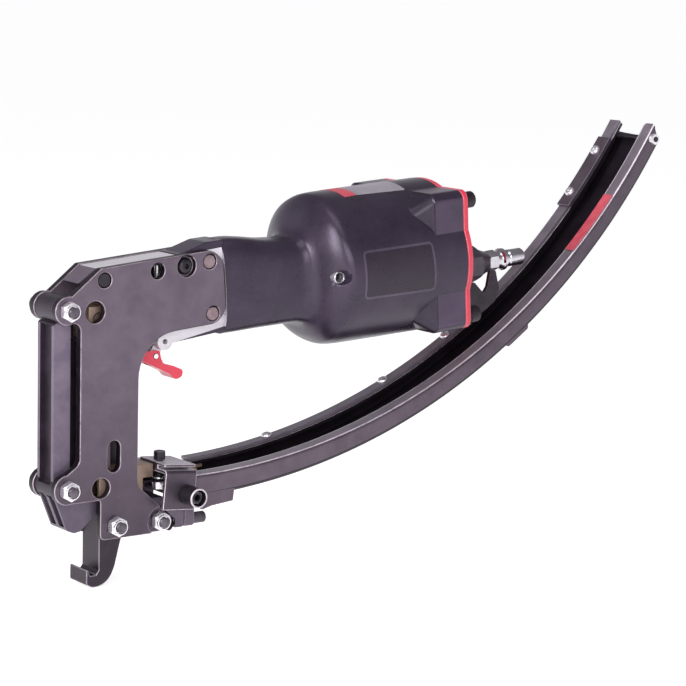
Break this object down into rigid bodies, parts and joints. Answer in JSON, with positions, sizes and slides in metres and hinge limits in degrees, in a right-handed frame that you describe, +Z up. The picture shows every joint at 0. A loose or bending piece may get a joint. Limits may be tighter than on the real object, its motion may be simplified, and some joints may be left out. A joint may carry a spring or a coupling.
{
  "type": "pneumatic clinch clip tool",
  "caption": "Air-driven clinching tool: a frame of two steel plates with a hooked anvil, a toggle-driven blade, a round air cylinder and a curved clip magazine.",
  "frame": {"origin": "on the anvil seat, under the driver blade, in the middle plane between the two frame plates", "axes": "+X to the rear of the tool, +Y to the far side, +Z up against the stroke of the driver blade"},
  "size_m": [0.446, 0.0924, 0.256],
  "materials": {
    "platesteel": "blued steel, satin",
    "casting": "dark cast finish, semi-gloss",
    "paint": "fine textured black paint",
    "red": "red paint, satin",
    "zinc": "bright zinc plate",
    "chrome": "polished chrome",
    "blacksteel": "black oxide",
    "tan": "hardened steel, straw tint",
    "dowel": "ground steel, brown tint",
    "aluminium": "machined",
    "rubber": "matt"
  },
  "bodies": {
    "frame": {"near_plate": "platesteel", "far_plate": "platesteel", "front_cover": "casting", "top_block": "aluminium", "blade_guide": "platesteel", "clip_track_insert": "tan", "anvil": "platesteel", "upper_frame_bolt": "blacksteel", "upper_lock_nut": "zinc", "lower_frame_bolt": "blacksteel", "lower_lock_nut": "zinc", "anvil_frame_bolt": "blacksteel", "anvil_lock_nut": "zinc", "root_frame_bolt": "blacksteel", "root_lock_nut": "zinc", "fulcrum_pin": "blacksteel", "upper_dowel": "dowel", "lower_dowel": "dowel", "near_button_screw": "blacksteel", "far_button_screw": "blacksteel", "root_block": "casting", "root_cap": "casting", "thumb_screw": "blacksteel", "magazine_bracket": "platesteel", "knob_sleeve": "blacksteel", "hold_down_leaf": "blacksteel", "leaf_screw": "blacksteel", "leaf_washer": "zinc", "leaf_nut": "zinc", "leaf_spring": "blacksteel", "magazine_channel": "platesteel", "far_track_strip": "platesteel", "hold_down_plate": "platesteel", "track_screw_1": "zinc", "track_screw_2": "zinc", "track_screw_3": "zinc", "end_bolt": "blacksteel", "end_nut": "zinc", "magazine_tag": "red", "housing": "paint", "rear_cap": "red", "near_lower_cap_screw": "blacksteel", "near_upper_cap_screw": "blacksteel", "far_lower_cap_screw": "blacksteel", "far_upper_cap_screw": "blacksteel", "inlet_adapter": "blacksteel", "air_plug": "chrome", "hanger_hook": "blacksteel", "bumper": "rubber", "trigger_pin": "zinc"},
    "piston_body": {"piston": "aluminium", "piston_seal": "rubber"},
    "upper_link_body": {"upper_link": "tan"},
    "lower_link_body": {"lower_link": "tan"},
    "push_link_body": {"push_link": "blacksteel"},
    "driver_body": {"driver": "tan"},
    "trigger_body": {"trigger": "red"},
    "stem_body": {"valve_stem": "zinc"},
    "pusher_body": {"clip_pusher": "tan"}
  },
  "joints": [
    {"name": "piston_slide", "type": "slide", "parent": "frame", "child": "piston_body", "axis": [-0.9972, 0, -0.075], "range_m": [0, 0.02878], "stiffness_N_per_m": 2000, "springref_m": -0.01},
    {"name": "upper_link_turn", "type": "hinge", "parent": "frame", "child": "upper_link_body", "pos_m": [0.00371, 0, 0.16884], "axis": [0, 1, 0], "range_deg": [-0.5, 49]},
    {"name": "lower_link_turn", "type": "hinge", "parent": "upper_link_body", "child": "lower_link_body", "pos_m": [0.04216, 0, 0.15781], "axis": [0, 1, 0], "range_deg": [-97.5, 1]},
    {"name": "push_link_turn", "type": "hinge", "parent": "upper_link_body", "child": "push_link_body", "pos_m": [0.04216, 0, 0.15781], "axis": [0, 1, 0], "range_deg": [-84.5, 1]},
    {"name": "driver_slide", "type": "slide", "parent": "frame", "child": "driver_body", "axis": [0, 0, -1], "range_m": [-0.0005, 0.0505]},
    {"name": "trigger_pull", "type": "hinge", "parent": "frame", "child": "trigger_body", "pos_m": [0.043, 0, 0.122], "axis": [0, -1, 0], "range_deg": [0, 12], "stiffness_Nm_per_rad": 0.6, "springref_deg": -17.19},
    {"name": "stem_lift", "type": "slide", "parent": "frame", "child": "stem_body", "axis": [0, 0, 1], "range_m": [-0.0002, 0.0012]},
    {"name": "pusher_travel", "type": "hinge", "parent": "frame", "child": "pusher_body", "pos_m": [0.0615, 0, 0.4681], "axis": [0, -1, 0], "range_deg": [0, 52.2]}
  ],
  "couplings": [
    {"joint": "upper_link_turn", "follows": "piston_slide", "rad_per_m": 29.259},
    {"joint": "lower_link_turn", "follows": "piston_slide", "rad_per_m": -58.519},
    {"joint": "push_link_turn", "follows": "piston_slide", "rad_per_m": -50.511},
    {"joint": "driver_slide", "follows": "piston_slide", "ratio": 1.7375},
    {"joint": "stem_lift", "follows": "trigger_pull", "m_per_rad": 0.0045}
  ]
}
